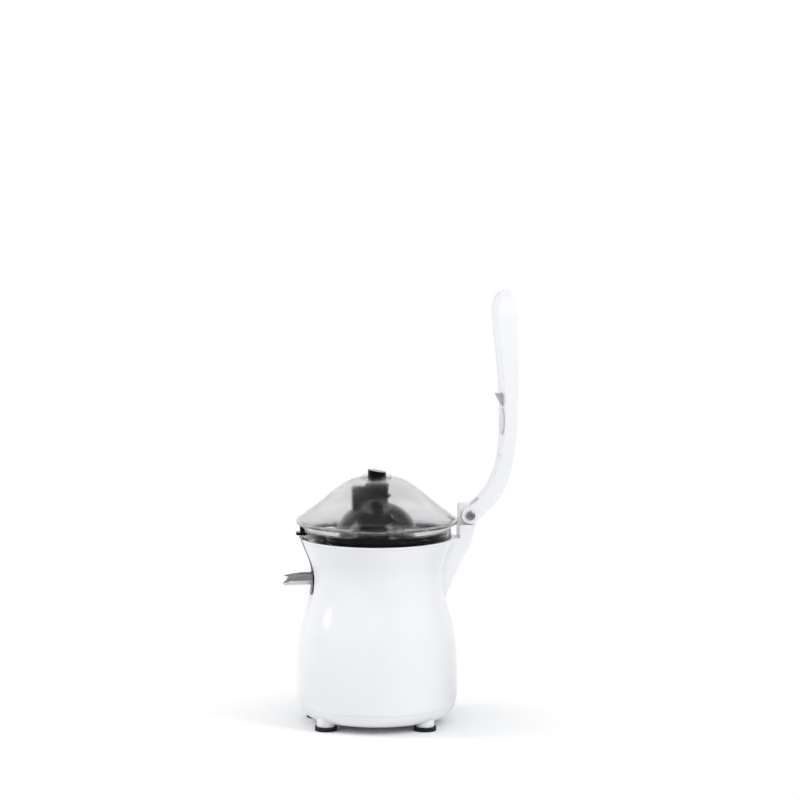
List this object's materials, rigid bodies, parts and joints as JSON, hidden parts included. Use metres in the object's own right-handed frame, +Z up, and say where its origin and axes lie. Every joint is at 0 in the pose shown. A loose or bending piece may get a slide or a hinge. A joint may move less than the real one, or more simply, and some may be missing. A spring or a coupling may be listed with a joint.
{
  "type": "lever citrus juice press",
  "caption": "Electric lever citrus press: vase-shaped body with hinged lever, geared drive, bowl with tilting spout, strainer, ribbed reamer, press cap and clear lid.",
  "frame": {"origin": "on the surface it stands on, straight below the drive shaft's axis", "axes": "+Z up along the drive shaft, -Y towards the spout, +Y towards the lever's hinge"},
  "size_m": [0.1792, 0.2461, 0.458],
  "materials": {
    "white_gloss": "gloss",
    "black_gloss": "gloss",
    "clear_plastic": "clear gloss",
    "grey_plastic": "satin",
    "nylon": "satin",
    "steel": "brushed",
    "dark_steel": "satin",
    "zinc": "satin",
    "bronze": "satin",
    "copper": "lacquered",
    "lamination": "stacked sheet",
    "rubber": "matte"
  },
  "bodies": {
    "base": {"housing": "white_gloss", "deck": "white_gloss", "base_plate": "white_gloss", "foot_pads": "rubber", "base_screws": "zinc", "cord_gland": "rubber", "shaft_bush": "bronze", "shaft_seal": "rubber", "gearbox_plate": "zinc", "gearbox_cover": "grey_plastic", "gearbox_screws": "zinc", "idler_axle": "steel", "motor_stator": "lamination", "motor_windings": "copper", "motor_frames": "zinc", "motor_bolts": "zinc", "microswitch": "grey_plastic", "hinge_bolt": "dark_steel", "hinge_nut": "dark_steel"},
    "lever": {"lever": "white_gloss", "lever_cover": "white_gloss", "press_socket": "grey_plastic", "hinge_bushes": "nylon"},
    "latch": {"cap_latch": "white_gloss"},
    "motor": {"rotor": "lamination", "motor_pinion": "steel", "cooling_fan": "grey_plastic"},
    "idler": {"idler_gear": "nylon"},
    "drive": {"drive_shaft": "grey_plastic", "output_gear": "nylon"},
    "button": {"switch_button": "black_gloss"},
    "sleeve": {"drive_sleeve": "black_gloss"},
    "bowl": {"juice_bowl": "clear_plastic", "spout_pin": "black_gloss"},
    "spout": {"spout_holder": "black_gloss", "spout_trough": "steel"},
    "strainer": {"strainer": "black_gloss"},
    "ring": {"thrust_ring": "nylon"},
    "reamer": {"reamer": "black_gloss"},
    "cap": {"press_cap": "black_gloss", "press_stem": "black_gloss"},
    "lid": {"lid": "clear_plastic"}
  },
  "joints": [
    {"name": "lever_hinge", "type": "hinge", "parent": "base", "child": "lever", "pos_m": [0, 0.098, 0.221], "axis": [-1, 0, 0], "range_deg": [-81, 0]},
    {"name": "latch_press", "type": "slide", "parent": "lever", "child": "latch", "axis": [0, -1, 0], "range_m": [-0.003, 0], "stiffness_N_per_m": 300, "springref_m": 0.001},
    {"name": "rotor_spin", "type": "hinge", "parent": "base", "child": "motor", "pos_m": [0, 0, 0.05], "axis": [0, 0, 1], "continuous": true},
    {"name": "drive_spin", "type": "hinge", "parent": "base", "child": "drive", "pos_m": [0, 0, 0.15], "axis": [0, 0, 1], "continuous": true},
    {"name": "idler_spin", "type": "hinge", "parent": "base", "child": "idler", "pos_m": [0.028, 0, 0.1], "axis": [0, 0, 1], "continuous": true},
    {"name": "switch_press", "type": "slide", "parent": "base", "child": "button", "axis": [0, 0, 1], "range_m": [-0.0012, 0], "stiffness_N_per_m": 400, "springref_m": 0.0005},
    {"name": "bowl_lift", "type": "slide", "parent": "base", "child": "bowl", "axis": [0, 0, 1], "range_m": [0, 0.1587]},
    {"name": "sleeve_lift", "type": "slide", "parent": "drive", "child": "sleeve", "axis": [0, 0, 1], "range_m": [0, 0.0824]},
    {"name": "spout_tilt", "type": "hinge", "parent": "bowl", "child": "spout", "pos_m": [0, -0.0357, 0.151], "axis": [-1, 0, 0], "range_deg": [-8, 0]},
    {"name": "strainer_lift", "type": "slide", "parent": "bowl", "child": "strainer", "axis": [0, 0, 1], "range_m": [0, 0.072]},
    {"name": "reamer_lift", "type": "slide", "parent": "strainer", "child": "ring", "axis": [0, 0, 1], "range_m": [0, 0.0657]},
    {"name": "reamer_spin", "type": "hinge", "parent": "ring", "child": "reamer", "pos_m": [0, 0, 0.21], "axis": [0, 0, 1], "continuous": true},
    {"name": "cap_lift", "type": "slide", "parent": "ring", "child": "cap", "axis": [0, 0, 1], "range_m": [0, 0.0779]},
    {"name": "lid_lift", "type": "slide", "parent": "cap", "child": "lid", "axis": [0, 0, 1], "range_m": [0, 0.0698]}
  ],
  "couplings": [
    {"joint": "drive_spin", "follows": "rotor_spin", "ratio": 0.11111},
    {"joint": "idler_spin", "follows": "rotor_spin", "ratio": -0.33333},
    {"joint": "reamer_spin", "follows": "rotor_spin", "ratio": 0.11111},
    {"joint": "sleeve_lift", "follows": "bowl_lift", "ratio": 0.5167}
  ]
}
